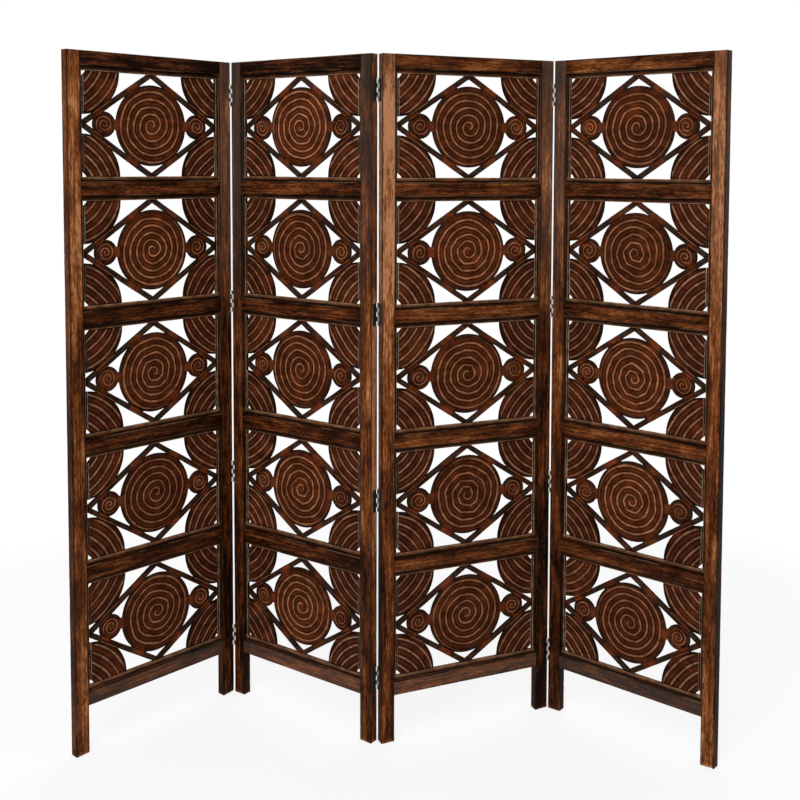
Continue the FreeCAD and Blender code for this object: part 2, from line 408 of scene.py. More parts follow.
def combine(tree, operation, first, second):
    """Two values joined by arithmetic."""
    return add_node(tree, "ShaderNodeMath", {0: first, 1: second}, operation=operation).outputs["Value"]


def combine_vectors(tree, operation, first, second):
    """Two vectors joined by arithmetic."""
    inputs = {0: first, 1: second}
    return add_node(tree, "ShaderNodeVectorMath", inputs, operation=operation).outputs["Vector"]


def total(tree, base, *terms):
    """A number plus several values, each with its weight."""
    for value, weight in terms:
        inputs = {0: value, 1: weight, 2: base}
        base = add_node(tree, "ShaderNodeMath", inputs, operation="MULTIPLY_ADD").outputs["Value"]
    return base


def mix(tree, amount, first, second):
    """A colour on the way from one to another."""
    return add_node(tree, "ShaderNodeMix", {0: amount, 6: first, 7: second}, data_type="RGBA").outputs[2]


def tinted(tree, colour, tint, amount, weight):
    """A colour with a tint laid over it by an amount and a weight."""
    return mix(tree, combine(tree, "MULTIPLY", amount, weight), colour, tint)


def ramp(tree, value, stops):
    """Colours set along a value that runs from 0 to 1."""
    made = add_node(tree, "ShaderNodeValToRGB", {"Fac": value})
    elements = made.color_ramp.elements
    elements.remove(elements[1])
    elements[0].position, elements[0].color = stops[0]
    for place, colour in stops[1:]:
        elements.new(place).color = colour
    return made.outputs["Color"]


def bumped(tree, relief, strength):
    """The direction of a surface that is roughened by a shallow relief."""
    inputs = {"Strength": strength, "Distance": grain_relief, "Height": relief}
    return add_node(tree, "ShaderNodeBump", inputs).outputs["Normal"]


def new_material(name, gloss):
    """A new material, its node tree and its shader."""
    material = bpy.data.materials.new(name)
    material.use_nodes = True
    shader = material.node_tree.nodes["Principled BSDF"]
    shader.inputs["Specular IOR Level"].default_value = gloss
    return material, material.node_tree, shader


def frame_wood():
    """Dark stained hardwood, rubbed back: mottled stain, wandering grain, pores and dark arrises."""
    material, tree, shader = new_material("rubbed_dark_wood", gloss=0.03)
    straight = attribute(tree, "grain", "Vector")
    wander = stretched_noise(tree, straight, scale=(9, 22, 22)).outputs["Color"]
    bend = combine_vectors(tree, "MULTIPLY", wander, (0, 0.008, 0.008))
    grain = combine_vectors(tree, "ADD", straight, bend)
    patches = cloud(tree, straight, scale=(5, 24, 24), detail=2, low=0.34, high=0.66)
    mottle = cloud(tree, straight, scale=(18, 60, 60), detail=2, low=0.34, high=0.66)
    streaks = cloud(tree, grain, scale=(7, 190, 190), detail=3, low=0.38, high=0.62)
    fibres = cloud(tree, grain, scale=(60, 310, 310), detail=2, low=0.40, high=0.60)
    seams = cloud(tree, grain, scale=(5, 240, 240), detail=2, low=0.62, high=0.70)
    pores = cloud(tree, grain, scale=(60, 1400, 1400), detail=1, low=0.56, high=0.66)
    tone = combine(tree, "SUBTRACT", attribute(tree, "tone", "Fac"), tone_drop)
    depth = total(tree, tone, (patches, 0.30), (mottle, 0.20), (streaks, 0.24), (fibres, 0.22))
    colour = ramp(tree, depth, (
        (0.00, stain(17, 7, 3)),
        (0.14, stain(40, 17, 7)),
        (0.34, stain(68, 33, 14)),
        (0.58, stain(104, 55, 25)),
        (0.80, stain(142, 84, 44)),
        (1.00, stain(184, 126, 84)),
    ))
    faint_pores = combine(tree, "MULTIPLY", pores, 0.4)
    faint_seams = combine(tree, "MULTIPLY", seams, 0.6)
    colour = mix(tree, combine(tree, "MAXIMUM", faint_pores, faint_seams), colour, stain(30, 14, 7))
    colour = mix(tree, attribute(tree, "dust", "Fac"), colour, stain(118, 104, 94))
    wear = attribute(tree, "wear", "Fac")
    # A dark line along the arrises, partly stain gathered there and partly painted shade on their rounding
    arris_stain_and_shade = between(tree, wear, low=0.05, high=0.75)
    colour = tinted(tree, colour, stain(26, 14, 8), arris_stain_and_shade, weight=0.92)
    bare = cloud(tree, straight, scale=(10, 60, 60), detail=3, low=0.48, high=0.60)
    bare = combine(tree, "MULTIPLY", bare, attribute(tree, "rubbed", "Fac"))
    colour = tinted(tree, colour, stain(152, 116, 84), combine(tree, "POWER", wear, 3), bare)
    set_inputs(tree, shader, {
        "Base Color": colour,
        "Roughness": total(tree, 0.34, (streaks, 0.10), (mottle, 0.10)),
        "Normal": bumped(tree, total(tree, 1, (fibres, 0.5), (pores, -1)), strength=0.4),
    })
    return material


wood = frame_wood()
upright = Matrix(((0, 1, 0), (0, 0, 1), (1, 0, 0))).to_4x4()
for number, panel in enumerate(panel_names):
    for side, tones in stile_tones_and_painted_shade[panel].items():
        ending = "_" + side + "_stile"
        low, high = extent(panel, ending)
        size = high - low
        stand = Matrix.Translation((low + high) / 2) @ upright
        cuts = hinge_cuts(panel, side, stand.inverted())
        seed = 100 * number + 10 * len(side)
        mesh = timber(size.z, size.x, size.y, seed, tones, ends_eased=True, cuts=cuts)
        mesh.transform(axes_of[panel] @ stand)
        make_piece(panel + ending + "_timber", [mesh], wood, panel, panel + ending)


# Rails: six cross bars to a panel, of the same timber as the stiles and flush with them. Tenons hold
# them in the stiles, so only the shoulder lines show, and grooves along them hold the carved boards.
groove_depth = 0.008
board_slack = 0.001
shoulder_overlap = 0.001
board_rows = 5
rail_difference = 0.07
rail_edge_tone = -0.10
bottom_rail_dust = 0.18
crosswise = Matrix(((1, 0, 0), (0, 0, -1), (0, 1, 0))).to_4x4()

# How light each panel's rails are at the left, in the middle and at the right, partly their stain and partly
# painted shade that darkens them towards the inside corners of the zigzag, and how much lighter its top rail
# and its bottom rail are than the others
rail_tones_and_painted_shade = {
    "panel_1": (-0.08, -0.08, -0.08, -0.18, 0.10),
    "panel_2": (-0.10, -0.05, -0.09, -0.14, 0.16),
    "panel_3": (0.12, 0.04, -0.07, 0.00, 0.04),
    "panel_4": (-0.06, -0.04, -0.03, 0.04, -0.08),
}


def opening(panel, row):
    """The corners of the opening that holds a board, counted from the top, in the panel's axes."""
    board_low, board_high = extent(panel, "_carved_board_" + str(row))
    left = extent(panel, "_left_stile")[1].x
    right = extent(panel, "_right_stile")[0].x
    low = Vector((left, board_low.y, board_low.z + groove_depth))
    high = Vector((right, board_high.y, board_high.z - groove_depth + board_slack))
    return low, high


def rail(panel, bottom, top, seed, long_tones, lighter, dust):
    """A rail between two heights of a panel, from one stile to the other."""
    left, half_thickness = extent(panel, "_left_stile")[1].xy
    length = 2 * (shoulder_overlap - left)
    lighter += random.Random(seed).uniform(-rail_difference, rail_difference)
    tones = (*(tone + lighter for tone in long_tones), rail_edge_tone, dust)
    mesh = timber(length, top - bottom, 2 * half_thickness, seed, tones, ends_eased=False)
    mesh.transform(axes_of[panel] @ Matrix.Translation((0, 0, (bottom + top) / 2)) @ crosswise)
    return mesh


for number, panel in enumerate(panel_names):
    openings = [opening(panel, row) for row in range(1, board_rows + 1)]
    tops = [low.z for low, high in openings]
    bottoms = [high.z for low, high in openings]
    *long_tones, top_tone, bottom_tone = rail_tones_and_painted_shade[panel]
    groups = (
        ("_top_rail", [(bottoms[0], extent(panel, "_top_rail")[1].z)], top_tone, 0),
        ("_middle_rails", zip(bottoms[1:], tops), 0, 0),
        ("_bottom_rail", [(extent(panel, "_bottom_rail")[0].z, tops[-1])], bottom_tone, bottom_rail_dust),
    )
    for ending, heights, lighter, dust in groups:
        meshes = [rail(panel, bottom, top, round(1000 * top) + 7 * number, long_tones, lighter, dust)
                  for bottom, top in heights]
        make_piece(panel + ending + "_timber", meshes, wood, panel, panel + ending)


# Carved boards: each is one board sawn through as fretwork and chiselled on both faces, a spiral disc
# between straps, two small spirals and four corner fans. The stain is black in the cuts, red-brown on
# the flats and rubbed off the crests, and the colours carry painted shade in the cuts, the hollows and the
# joins, and painted light on the upward faces and pale arrises. Its plain border sits in the grooves of the
# frame.
side_border = 0.008
end_border = 0.012
border_round = 0.0014
border_height = 0.0050
border_line = 0.0026
border_middle = 0.0050
border_shadow = 0.0090
border_cuts = 30
border_hollow = 0.6
crest_height = 0.0048
foot_height = 0.0026
edge_height = 0.0019
relief_height = crest_height - foot_height
ease_segments = 2

disc_radius = 0.108
small_disc_radius = 0.0335
small_disc_distance = 0.143
fan_radius = 0.111
fan_rim = 0.005
fan_arc_radii = (0.125, 0.200)
fan_tilt = 9
fan_brightness = (0.75, 1.1)
first_fan_crest = 0.027
fan_crest_drift = 0.002
fan_pitch = 0.0225
fan_laps = range(-1, 4)
fan_looseness = 0.6
fan_firm_reach = 0.012
fan_side_fade = (0.0004, 0.0030)
fan_slack = math.radians(2)
fan_steps = 34
corner_hole_radius = 0.014
hole_rim = 0.002
hole_flatness = 0.2
ring_gap = 0.00006

strap_width = 0.014
strap_height = 0.00375
strap_overlap = 0.004
patch_height = 0.00325
patch_length = 0.052
red_length = 0.036
patch_overlap = 0.008
neck_length = 0.022
neck_height = 0.028
bridge_length = 0.025
bridge_width = 0.016
bead_length = 0.066
bead_width = 0.003
bead_height = 0.0043
fillet_width = 0.0028
fillet_height = 0.0047
fillet_place = 0.0042
strip_ease = 0.0007
strip_wander = 0.25
patch_fade = 0.004
edge_shade = 0.8
neck_redness = (0.5, 0.9)
patch_redness = (0.6, 1.1)
bridge_redness = (0.9, 1.4)
fillet_wear_and_sheen = (0.1, 0.9)

wander_scale = 20
wander_reach = 0.0034
hollow_scale = 110
hollow_depth = 0.00022
grain_steps = (1.37, 0.11, 0.73)

fewest_strokes = 6
straightest = (0.1, 0.8)
laps_inside = 2
first_crest_shares = (0.3, 1.2)
next_crest_shares = (0.3, 0.7)
disc_brightness = (0.78, 1.2)
rim_step_share = 0.55
sliver_share = 0.05
fade_share = 0.16
firm_share = 0.6
weld_share = 0.004
big_spiral = {"radius": disc_radius, "rim": 0.006, "pitch": 0.0192, "centre": 0.008, "steps": 120,
              "strokes": (0.020, 0.044)}
small_spiral = {"radius": small_disc_radius, "rim": 0.0085, "pitch": 0.0104, "centre": 0.004, "steps": 64,
                "strokes": (0.009, 0.016)}

crest_tan = stain(164, 107, 74)
fan_tan = stain(160, 115, 90)
band_red = stain(93, 42, 20)
# Black of the hollows: stain gathered there, and painted shade beside the crests, at the joins and where
# ridges die away
foot_black_and_shade = stain(26, 10, 3)
rim_black = stain(32, 16, 8)
rim_brown = stain(52, 30, 20)
strap_brown = stain(54, 39, 30)
patch_red = stain(114, 53, 26)
# Pale line on the border's inner arris: worn wood and a painted highlight
border_worn_highlight = stain(150, 118, 90)
border_brown = stain(64, 40, 26)
# The lower border is lighter than the upper one: painted light from above
lit_low_border_tan = stain(112, 76, 50)
side_border_brown = stain(48, 30, 20)
# The border's dark outer part: stain gathered there and painted shade under the rails and beside the stiles
border_dark_and_shade = stain(24, 14, 9)
# Walls of the cuts: dark stain with painted shade
wall_black_and_shade = stain(18, 10, 6)
# Painted light on the upward face of the lower border's inner wall
lit_ledge_brown = stain(104, 68, 44)
# Pale grey of the fillets along the fans' straight sides: worn wood and a painted sheen
fillet_grey_and_sheen = stain(176, 164, 146)
band_brown = foot_black_and_shade.lerp(band_red, 0.4)
bead_stains = (crest_tan * 0.6, crest_tan * 0.75)

disc_crest_share = 0.10
fan_crest_share = 0.075
band_share = 0.2
rim_share = 0.05


def ridge_across(half_crest, tan):
    """One ridge: places across it as shares of the pitch, heights as shares of the relief, and stains; the
    black beside the crests is stain in the hollows and painted shade.
    """
    return (
        (0, 1.00, tan),
        (half_crest, 0.90, tan),
        # The black on either side of the crest is painted shade as well as stain in the hollow
        (half_crest + 0.065, 0.34, foot_black_and_shade),
        (0.28, 0.06, band_brown),
        (0.50, 0.32, band_red),
        (0.72, 0.06, band_brown),
        (0.935 - half_crest, 0.34, foot_black_and_shade),
        (1 - half_crest, 0.90, tan),
    )


def crest_amount(share, lost):
    """How much of a crest a point is, by its height and how far the ridge has died away."""
    return max(0, share - 0.5) * 2 * (1 - lost)


def carving_layers(bm):
    """What the points of a carving carry: their stain with painted shade and highlights in it, how much of a
    crest they are, and a mark as known.
    """
    return (bm.verts.layers.float_color.new("stain"), bm.verts.layers.float.new("crest"),
            bm.verts.layers.float.new("known"))


def solid_object(bm, place=Matrix()):
    """A closed solid of the fretwork in its place on the board, with its faces turned outwards."""
    bmesh.ops.transform(bm, matrix=place, verts=bm.verts)
    bmesh.ops.recalc_face_normals(bm, faces=bm.faces)
    return bpy.data.objects.new("carving", new_mesh(bm, "carving"))


def both_faces(bm):
    """Close a carved front face into a solid with the same carving on its back."""
    made = bmesh.ops.extrude_face_region(bm, geom=bm.faces[:])
    back = [item for item in made["geom"] if isinstance(item, bmesh.types.BMVert)]
    bmesh.ops.scale(bm, vec=(1, -1, 1), verts=back)


def swept_rings(count, angle, steps):
    """A fan of rings a unit apart, and each point's ring and angle, before they get their real radii."""
    bm = bmesh.new()
    layers = carving_layers(bm)
    line = [bm.verts.new((ring + 1, 0, 0)) for ring in range(count)]
    edges = [bm.edges.new(pair) for pair in zip(line, line[1:])]
    swept = bmesh.ops.spin(bm, geom=line + edges, axis=(0, -1, 0), angle=angle, steps=steps)
    last = {item for item in swept["geom_last"] if isinstance(item, bmesh.types.BMVert)}
    places = {}
    for vertex in bm.verts:
        ring = round(math.hypot(vertex.co.x, vertex.co.z)) - 1
        turn = angle if vertex in last else math.atan2(vertex.co.z, vertex.co.x) % math.tau
        places[vertex] = (ring, turn)
    return bm, places, layers


def chiselled(x, z, seed):
    """How far a hand tool wandered from the drawn line, and from the right depth."""
    drift = noise.noise_vector(Vector((x * wander_scale, z * wander_scale, seed))) * wander_reach
    hollow = noise.noise(Vector((x * hollow_scale, z * hollow_scale, seed))) * hollow_depth
    return drift.x, drift.z, hollow


def stroke_corners(draw, start, pitch, reach, strokes):
    """Where the straight strokes that a spiral was cut in meet: angles along the spiral, and radii."""
    angles = [0]
    radii = [start]
    while radii[-1] < reach:
        step = min(draw.uniform(*strokes) / radii[-1], math.tau / fewest_strokes)
        angles.append(angles[-1] + step)
        radii.append(start + pitch * angles[-1] / math.tau)
    return angles, radii


def stroke_pull(corners, angle):
    """How far inside the round spiral its straight stroke lies at an angle."""
    angles, radii = corners
    following = bisect.bisect(angles, angle)
    if following in (0, len(angles)):
        return 0
    before = angle - angles[following - 1]
    after = angles[following] - angle
    near, far = radii[following - 1], radii[following]
    straight = near * far * math.sin(before + after) / (near * math.sin(before) + far * math.sin(after))
    return straight - (near * after + far * before) / (before + after)


def spiral_disc(seed, radius, rim, pitch, centre, steps, strokes):
    """A disc cut as one spiral ridge that runs outwards counterclockwise and dies away at the rim."""
    draw = random.Random(seed)
    inner = radius - rim
    start = pitch * draw.uniform(*first_crest_shares)
    corners = stroke_corners(draw, start, pitch, inner + 2 * pitch, strokes)
    straightness = draw.uniform(*straightest)
    brightness = draw.uniform(*disc_brightness)
    ridge = ridge_across(disc_crest_share, crest_tan)
    laps = laps_inside + math.ceil(inner / pitch) + 1
    ring_count = laps * len(ridge) + 1
    rim_rings = ((inner, band_share), (inner + rim * rim_step_share, rim_share), (radius, None))
    bm, places, (stained, crest, known) = swept_rings(ring_count + len(rim_rings), math.tau, steps)
    for vertex, (ring, turn) in places.items():
        vertex[known] = 1
        if ring >= ring_count:
            spread, share = rim_rings[ring - ring_count]
            height = edge_height if share is None else foot_height + share * relief_height
            vertex[stained] = rim_black if share is None else rim_brown
            vertex.co = (spread * math.cos(turn), -height, spread * math.sin(turn))
            continue
        lap, step = divmod(ring, len(ridge))
        place, share, colour = ridge[step]
        angle = math.tau * (lap - laps_inside) + turn
        spread = start + pitch * (angle / math.tau + place)
        next_crest = smooth(*next_crest_shares, place)
        pull = stroke_pull(corners, angle) * (1 - next_crest)
        pull += stroke_pull(corners, angle + math.tau) * next_crest
        spread += pull * straightness * (1 - smooth(inner - pitch, inner, spread))
        if spread < pitch * sliver_share:
            spread = 0
        elif spread > inner - pitch * sliver_share:
            spread = inner
        outward = smooth(inner - pitch * fade_share, inner, spread)
        inward = 1 - smooth(centre / 2, centre, spread)
        lost = max(outward, inward)
        share = share * (1 - lost) + band_share * lost
        plain = rim_brown if outward > inward else band_red
        vertex[stained] = colour.lerp(plain, lost) * brightness
        vertex[crest] = crest_amount(share, lost)
        loose = smooth(0, pitch, spread) * (1 - smooth(inner - pitch * firm_share, inner, spread))
        x = spread * math.cos(turn)
        z = spread * math.sin(turn)
        shift_x, shift_z, hollow = chiselled(x, z, seed)
        height = foot_height + share * relief_height + hollow
        vertex.co = (x + shift_x * loose, -height, z + shift_z * loose)
    bmesh.ops.remove_doubles(bm, verts=bm.verts, dist=pitch * weld_share)
    both_faces(bm)
    return solid_object(bm)


def fan_line(apex, off_diagonal, arc_radius):
    """How far from the corner a fan's arc lies: equal arcs stand one behind another along a diagonal."""
    shift = apex - arc_radius
    return shift * math.cos(off_diagonal) + math.sqrt(arc_radius ** 2 - (shift * math.sin(off_diagonal)) ** 2)


def corner_fan(seed):
    """A quarter disc cut in curved ridges, with a small hole in its corner, opening towards +X and +Z."""
    draw = random.Random(seed)
    brightness = draw.uniform(*fan_brightness)
    first_crest = first_fan_crest + draw.uniform(-fan_crest_drift, fan_crest_drift)
    arc_radius = draw.uniform(*fan_arc_radii)
    diagonal = math.radians(45 + draw.uniform(-fan_tilt, fan_tilt))
    arcs = [(first_crest + fan_pitch * (lap + place), share, colour)
            for lap in fan_laps for place, share, colour in ridge_across(fan_crest_share, fan_tan)]
    arcs = [arc for arc in arcs if corner_hole_radius < arc[0] < fan_radius - fan_rim]
    inner = [(corner_hole_radius, None, wall_black_and_shade),
             (corner_hole_radius + hole_rim / 2, rim_share, rim_black)]
    outer = [(fan_radius - fan_rim / 2, rim_share, rim_black),
             (fan_radius, None, wall_black_and_shade)]
    rings = inner + arcs + outer
    whole_turn = math.radians(90) + 2 * fan_slack
    bm, places, (stained, crest, known) = swept_rings(len(rings), whole_turn, fan_steps)
    for vertex, (ring, turn) in places.items():
        spread, share, colour = rings[ring]
        turn -= fan_slack
        cut_off = 0
        hole_shift = hole_flatness * corner_hole_radius * max(0, math.sin(2 * turn))
        if ring < len(inner):
            spread -= hole_shift
        elif ring < len(inner) + len(arcs):
            line = fan_line(spread, turn - diagonal, arc_radius)
            least = corner_hole_radius - hole_shift + hole_rim + ring_gap * ring
            most = fan_radius - fan_rim - ring_gap * (len(rings) - ring)
            spread = min(max(line, least), most)
            cut_off = smooth(0, ring_gap, abs(line - spread))
        x = spread * math.cos(turn)
        z = spread * math.sin(turn)
        shift_x, shift_z, hollow = chiselled(x, z, seed)
        from_edge = min(spread - corner_hole_radius + hole_shift, fan_radius - spread)
        loose = fan_looseness * smooth(0, fan_firm_reach, from_edge)
        lost = max(cut_off, 1 - smooth(*fan_side_fade, min(x, z)))
        height = edge_height
        if share is not None:
            height = foot_height + share * (1 - lost) * relief_height + hollow
            vertex[crest] = crest_amount(share, lost)
        vertex[known] = 1
        vertex[stained] = colour.lerp(foot_black_and_shade, lost) * brightness
        vertex.co = (x + shift_x * loose, -height, z + shift_z * loose)
    both_faces(bm)
    return bm


def strip(length, width, height, cuts, stains, seed, patches=()):
    """A flat strip of the fretwork along X with eased edges, stained from one colour across to another.

    Patches are stretches of another stain along it: a place, a length and a colour.
    """
    bm = bmesh.new()
    bmesh.ops.create_cube(bm, size=1)
    bmesh.ops.scale(bm, vec=(length, 2 * height, width), verts=bm.verts)
    bmesh.ops.bevel(bm, geom=edges_along(bm, length), offset=strip_ease, affect="EDGES",
                    segments=ease_segments, profile=0.5, material=-1)
    bmesh.ops.subdivide_edges(bm, edges=edges_along(bm, length), cuts=cuts, use_grid_fill=True)
    stained, crest, known = carving_layers(bm)
    for vertex in bm.verts:
        on_wall = abs(vertex.co.y) < height - strip_ease / 2
        across = smooth(-width / 2, width / 2, vertex.co.z)
        shift_x, shift_z, hollow = chiselled(vertex.co.x, vertex.co.z, seed)
        colour = stains[0].lerp(stains[1], across)
        shade = edge_shade * smooth(width / 2 - strip_ease, width / 2, abs(vertex.co.z))
        for place, patch, patch_stain in patches:
            outside = smooth(patch / 2 - patch_fade, patch / 2 + patch_fade, abs(vertex.co.x - place))
            colour = patch_stain.lerp(colour, outside)
            shade *= outside
        colour = colour.lerp(wall_black_and_shade, shade)
        vertex[known] = 1
        vertex[stained] = wall_black_and_shade if on_wall else colour
        vertex.co.z += shift_z * strip_wander
        vertex.co.y += math.copysign(hollow, vertex.co.y)
    return bm


def board_solids(half_width, half_height, seed):
    """The solids of one board's carving, about the middle of its opening, each with a seed of its own."""
    reach_x = half_width - side_border
    reach_z = half_height - end_border
    slope = math.atan2(reach_z, reach_x)
    strap_length = math.hypot(reach_x, reach_z)
    strap_distance = reach_x * reach_z / strap_length
    strap_middle = (reach_x ** 2 - reach_z ** 2) / (2 * strap_length)
    patch_width = max(strap_distance - disc_radius, 0) + patch_overlap
    bridge_place = small_disc_distance * math.cos(slope)
    neck_place = (disc_radius + small_disc_distance - small_disc_radius) / 2
    browns = (strap_brown, strap_brown)
    draw = random.Random(seed)
    solids = [spiral_disc(seed, **big_spiral)]
    for side_x in (-1, 1):
        small = spiral_disc(seed + side_x * 3.5, **small_spiral)
        small.data.transform(Matrix.Translation((side_x * small_disc_distance, 0, 0)))
        solids.append(small)
        red = strap_brown.lerp(patch_red, draw.uniform(*neck_redness))
        neck = strip(neck_length, neck_height, patch_height, cuts=3, stains=(red, red), seed=seed)
        solids.append(solid_object(neck, Matrix.Translation((side_x * neck_place, 0, 0))))
        for side_z in (-1, 1):
            quarter = Matrix.Diagonal((side_x, 1, side_z, 1)) @ Matrix.Rotation(slope, 4, "Y")
            red = strap_brown.lerp(patch_red, draw.uniform(*patch_redness))
            bridge_red = strap_brown.lerp(patch_red, draw.uniform(*bridge_redness))
            # The fillet's pale grey is partly wear and partly a painted sheen
            worn = strap_brown.lerp(fillet_grey_and_sheen, draw.uniform(*fillet_wear_and_sheen))
            strap_reds = ((-strap_middle, red_length, red),
                          (bridge_place - strap_middle, bridge_length, bridge_red))
            patch_reds = [(0, red_length, red)]
            mark = seed + side_x + 2 * side_z
            strips = (
                (strap_middle, strap_distance,
                 strip(strap_length + 2 * strap_overlap, strap_width, strap_height, cuts=36, stains=browns,
                       seed=mark, patches=strap_reds)),
                (0, strap_distance - patch_width / 2,
                 strip(patch_length, patch_width, patch_height, cuts=9, stains=browns, seed=mark,
                       patches=patch_reds)),
                (bridge_place, strap_distance - bridge_width / 2,
                 strip(bridge_length, bridge_width, patch_height, cuts=3, stains=(bridge_red, bridge_red),
                       seed=mark)),
                (2 * strap_middle, strap_distance + (strap_width - bead_width) / 2,
                 strip(bead_length, bead_width, bead_height, cuts=10, stains=bead_stains, seed=mark)),
            )
            for along, across, bm in strips:
                solids.append(solid_object(bm, quarter @ Matrix.Translation((along, 0, across))))
            fillet = strip(fan_radius - corner_hole_radius, fillet_width, fillet_height, cuts=14,
                           stains=(worn, worn), seed=mark)
            fillet_middle = reach_z - (fan_radius + corner_hole_radius) / 2
            beside = Matrix.Translation((side_x * (reach_x - fillet_place), 0, side_z * fillet_middle))
            solids.append(solid_object(fillet, beside @ Matrix.Rotation(math.radians(90), 4, "Y")))
            corner = Matrix.Translation((side_x * reach_x, 0, side_z * reach_z))
            fan = corner_fan(seed + 5 * side_x + 11 * side_z)
            solids.append(solid_object(fan, corner @ Matrix.Diagonal((-side_x, 1, -side_z, 1))))
    return solids


def on_field_edge(edge, field_x, field_z):
    """True for the border's edges around the carved field, on either face."""
    start, end = (vertex.co for vertex in edge.verts)
    inside = all(abs(point.x) < field_x + side_border / 2 and abs(point.z) < field_z + end_border / 2
                 for point in (start, end))
    return inside and abs(start.y - end.y) < border_height


def border_ring(half_width, half_height, seed):
    """The plain border, a flat ring whose inner arris is rounded and worn, with a painted highlight on it,
    and which carries painted light and shade besides its stain.
    """
    field_x = half_width - side_border
    field_z = half_height - end_border
    bm = bmesh.new()
    # The lines of this grid, at 0.5 and 1.5 on either side, move to the two outlines of the ring
    bmesh.ops.create_grid(bm, x_segments=3, y_segments=3, size=1.5)
    bmesh.ops.rotate(bm, cent=(0, 0, 0), matrix=Matrix.Rotation(math.radians(90), 3, "X"), verts=bm.verts)
    for vertex in bm.verts:
        x = half_width + shoulder_overlap if abs(vertex.co.x) > 1 else field_x
        z = half_height + shoulder_overlap if abs(vertex.co.z) > 1 else field_z
        vertex.co = (math.copysign(x, vertex.co.x), -border_height, math.copysign(z, vertex.co.z))
    middle = min(bm.faces, key=lambda face: face.calc_center_median().length)
    bmesh.ops.delete(bm, geom=[middle], context="FACES_ONLY")
    both_faces(bm)
    inner = [edge for edge in bm.edges if on_field_edge(edge, field_x, field_z)]
    bmesh.ops.bevel(bm, geom=inner, offset=border_round, affect="EDGES", segments=ease_segments, profile=0.5,
                    material=-1)
    long_edges = [edge for edge in bm.edges if edge.calc_length() > half_height]
    bmesh.ops.subdivide_edges(bm, edges=long_edges, cuts=border_cuts, use_grid_fill=True)
    for across, field in (((1, 0, 0), field_x), ((0, 0, 1), field_z)):
        for reach in (field + border_line, field + border_middle, field + border_shadow):
            for side in (-1, 1):
                cut_across(bm, Vector(across) * side * reach, across)
    stained, crest, known = carving_layers(bm)
    for vertex in bm.verts:
        beyond = max(abs(vertex.co.x) - field_x, abs(vertex.co.z) - field_z)
        brown = border_brown
        # Painted light: the lower border gets a lighter brown than the upper one
        if vertex.co.z < -field_z:
            brown = lit_low_border_tan
        elif abs(vertex.co.z) < field_z:
            brown = side_border_brown
        # The inner arris is pale: partly worn and partly a painted highlight
        colour = border_worn_highlight.lerp(brown, smooth(border_round, border_line, beyond))
        # The border darkens towards the frame: stain and painted shade
        colour = colour.lerp(border_dark_and_shade, smooth(border_middle, border_shadow, beyond))
        on_wall = abs(vertex.co.y) < border_height - border_round / 2
        on_ledge = vertex.co.z < border_line - field_z
        vertex[known] = 1
        # Walls are black with painted shade, except the wall facing up from the lower border, which gets a
        # lighter brown as painted light
        vertex[stained] = lit_ledge_brown if on_wall and on_ledge else wall_black_and_shade if on_wall else colour
        vertex[crest] = 0 if on_wall else 1 - smooth(border_round, border_line, beyond)
        hollow = chiselled(vertex.co.x, vertex.co.z, seed)[2]
        vertex.co.y += math.copysign(hollow * border_hollow, vertex.co.y)
    return solid_object(bm)


def joined_board(half_width, half_height, seed):
    """Union of all the solids of a board, with the stain, a painted contact shadow along its joins, and the
    grain on its points.
    """
    border = border_ring(half_width, half_height, seed)
    whole = combined(border, board_solids(half_width, half_height, seed), "UNION")
    bm = bmesh.new()
    bm.from_mesh(whole)
    bmesh.ops.triangulate(bm, faces=[face for face in bm.faces if len(face.verts) > 4])
    stained = bm.verts.layers.float_color["stain"]
    crest = bm.verts.layers.float["crest"]
    known = bm.verts.layers.float["known"]
    grain = bm.verts.layers.float_vector.new("grain")
    log_place = Vector([seed * step for step in grain_steps])
    for vertex in bm.verts:
        # Points made where the solids meet take the black of the hollows: a painted contact shadow along the
        # joins
        if vertex[known] < 0.5:
            vertex[stained] = foot_black_and_shade
            vertex[crest] = 0
        vertex[grain] = vertex.co + log_place
    bm.to_mesh(whole)
    bm.free()
    return whole


def carved_wood():
    """The boards' finish: stain and painted shade by depth from the points, blotched, streaked and rubbed
    thin on crests.
    """
    material, tree, shader = new_material("carved_red_brown_wood", gloss=0.02)
    grain = attribute(tree, "grain", "Vector")
    colour = attribute(tree, "stain", "Color")
    warm = cloud(tree, grain, scale=(16, 16, 16), detail=2, low=0.50, high=0.68)
    colour = tinted(tree, colour, stain(126, 60, 26), warm, weight=0.24)
    blotches = cloud(tree, grain, scale=(34, 46, 46), detail=3, low=0.40, high=0.62)
    colour = tinted(tree, colour, stain(24, 9, 3), blotches, weight=0.5)
    streaks = cloud(tree, grain, scale=(22, 300, 300), detail=3, low=0.42, high=0.68)
    colour = tinted(tree, colour, stain(42, 22, 13), streaks, weight=0.25)
    missed = cloud(tree, grain, scale=(90, 90, 90), detail=2, low=0.45, high=0.62)
    missed = combine(tree, "MULTIPLY", missed, attribute(tree, "crest", "Fac"))
    colour = tinted(tree, colour, stain(104, 56, 34), missed, weight=0.5)
    strokes = cloud(tree, grain, scale=(240, 240, 240), detail=2, low=0.3, high=0.7)
    set_inputs(tree, shader, {
        "Base Color": colour,
        "Roughness": total(tree, 0.38, (blotches, 0.16)),
        "Normal": bumped(tree, total(tree, strokes, (streaks, 0.5)), strength=0.3),
    })
    return material


carved = carved_wood()
for number, panel in enumerate(panel_names):
    for row in range(1, board_rows + 1):
        low, high = opening(panel, row)
        mesh = joined_board((high.x - low.x) / 2, (high.z - low.z) / 2, 10 * number + row)
        mesh.transform(axes_of[panel] @ Matrix.Translation((low + high) / 2))
        node = panel + "_carved_board_" + str(row)
        make_piece(node + "_fretwork", [mesh], carved, panel, node)


